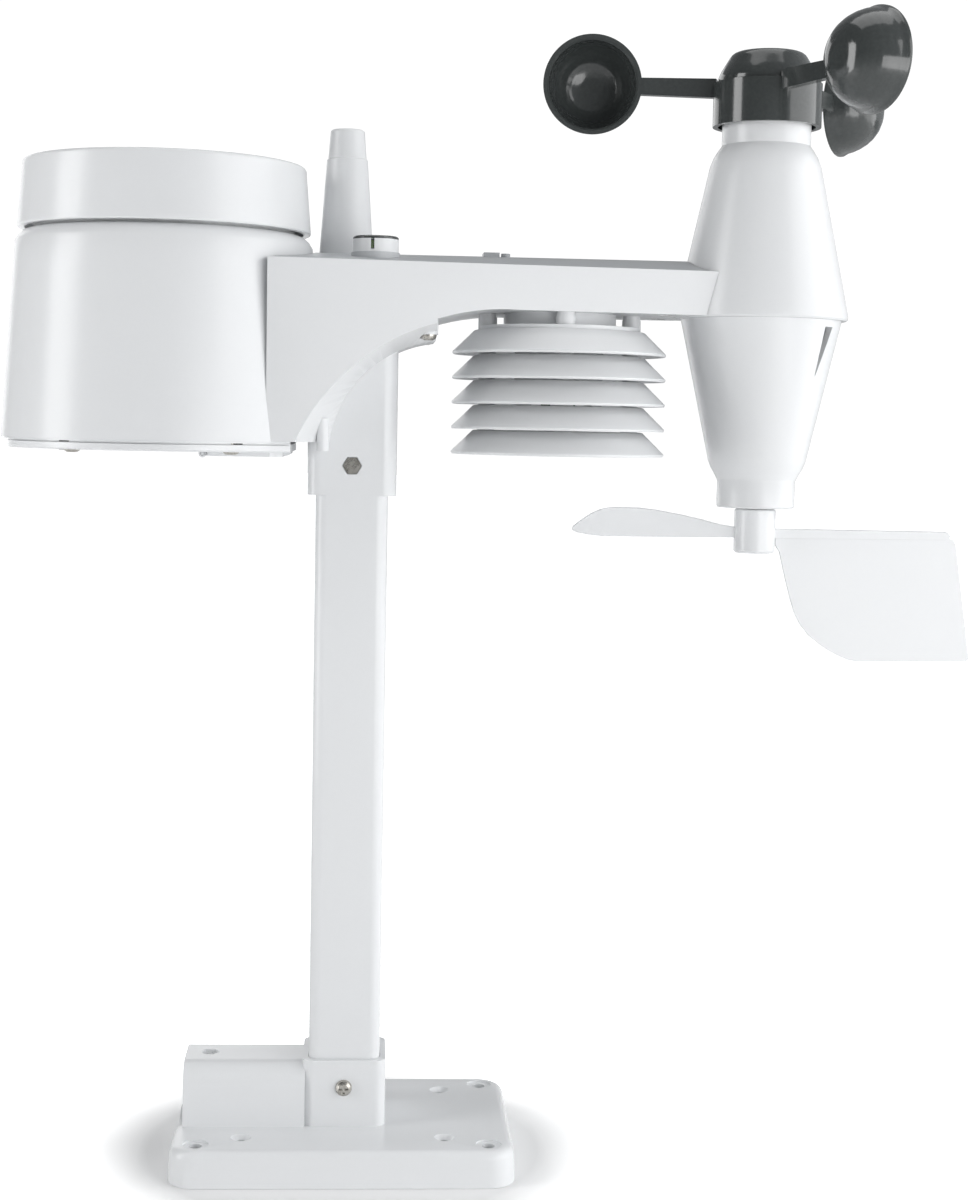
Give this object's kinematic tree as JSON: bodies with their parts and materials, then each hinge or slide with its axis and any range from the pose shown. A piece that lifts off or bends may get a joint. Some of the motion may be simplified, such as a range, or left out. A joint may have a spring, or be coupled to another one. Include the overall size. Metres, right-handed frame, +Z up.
{
  "type": "home weather station",
  "caption": "Outdoor home weather sensor on a square pole: rain gauge, tapered arm, louvred shield, cup anemometer and wind vane on a bolt-down base.",
  "frame": {"origin": "centre of the corner bolt pattern, on the underside of the base plate, below the pole's axis", "axes": "+Z up along the pole, +X along the arm towards the wind sensors, -Y towards the front"},
  "size_m": [0.3434, 0.1366, 0.3981],
  "materials": {
    "white_plastic": "semi-gloss moulded",
    "pale_plastic": "satin moulded",
    "roof_plastic": "satin moulded",
    "dark_plastic": "polished moulded",
    "black_plastic": "satin",
    "steel": "plain stainless",
    "brass": "drawn wire",
    "board": "solder mask",
    "clear_plastic": "clear",
    "level_liquid": "tinted liquid",
    "cell_wrap": "printed sleeve, no print"
  },
  "bodies": {
    "station": {"mount_base": "white_plastic", "pole": "white_plastic", "pole_screws": "steel", "pole_nuts": "steel", "main_housing": "white_plastic", "gauge_floor": "white_plastic", "floor_screws": "steel", "arm_cover": "roof_plastic", "cover_screws": "steel", "antenna_sleeve": "pale_plastic", "antenna_wire": "brass", "level_cup": "pale_plastic", "level_vial": "clear_plastic", "level_liquid": "level_liquid", "level_ring": "dark_plastic", "wind_tower": "white_plastic", "lower_cone": "white_plastic", "cup_bearings": "steel", "vane_bearings": "steel", "wind_board": "board", "speed_sensor": "board", "louvre_1": "pale_plastic", "louvre_2": "pale_plastic", "louvre_3": "pale_plastic", "louvre_4": "pale_plastic", "louvre_5": "pale_plastic", "shield_screws": "steel", "sensor_case": "white_plastic", "sensor_board": "board", "main_board": "board", "reed_switch": "clear_plastic", "battery_tray": "black_plastic", "battery_cells": "cell_wrap", "battery_contacts": "steel", "bucket_cradle": "pale_plastic", "button_board": "board", "status_lens": "clear_plastic"},
    "cup_wheel": {"rotor_body": "dark_plastic", "rotor_cap": "dark_plastic", "wind_cup_1": "dark_plastic", "wind_cup_2": "dark_plastic", "wind_cup_3": "dark_plastic", "rotor_shaft": "steel", "rotor_magnets": "steel"},
    "wind_vane": {"vane_hub": "white_plastic", "vane_pointer": "white_plastic", "vane_tail": "white_plastic", "vane_shaft": "steel", "vane_magnet": "steel"},
    "bucket": {"tipping_bucket": "white_plastic", "bucket_pin": "steel", "bucket_magnet": "steel"},
    "collector": {"rain_collector": "white_plastic"},
    "reset_key": {"reset_button": "black_plastic"},
    "battery_flap": {"battery_door": "white_plastic"}
  },
  "joints": [
    {"name": "cup_spin", "type": "hinge", "parent": "station", "child": "cup_wheel", "pos_m": [0.1431, 0, 0.3805], "axis": [0, 0, 1], "continuous": true},
    {"name": "vane_turn", "type": "hinge", "parent": "station", "child": "wind_vane", "pos_m": [0.1431, 0, 0.225], "axis": [0, 0, 1], "continuous": true},
    {"name": "bucket_tip", "type": "hinge", "parent": "station", "child": "bucket", "pos_m": [-0.0657, 0, 0.272], "axis": [1, 0, 0], "range_deg": [0, 36]},
    {"name": "collector_lift", "type": "slide", "parent": "station", "child": "collector", "axis": [0, 0, 1], "range_m": [0, 0.055]},
    {"name": "reset_press", "type": "slide", "parent": "station", "child": "reset_key", "axis": [0, 0, 1], "range_m": [0, 0.0008], "stiffness_N_per_m": 300},
    {"name": "door_open", "type": "hinge", "parent": "station", "child": "battery_flap", "pos_m": [-0.0506, 0, 0.2494], "axis": [0, 1, 0], "range_deg": [0, 100]}
  ]
}
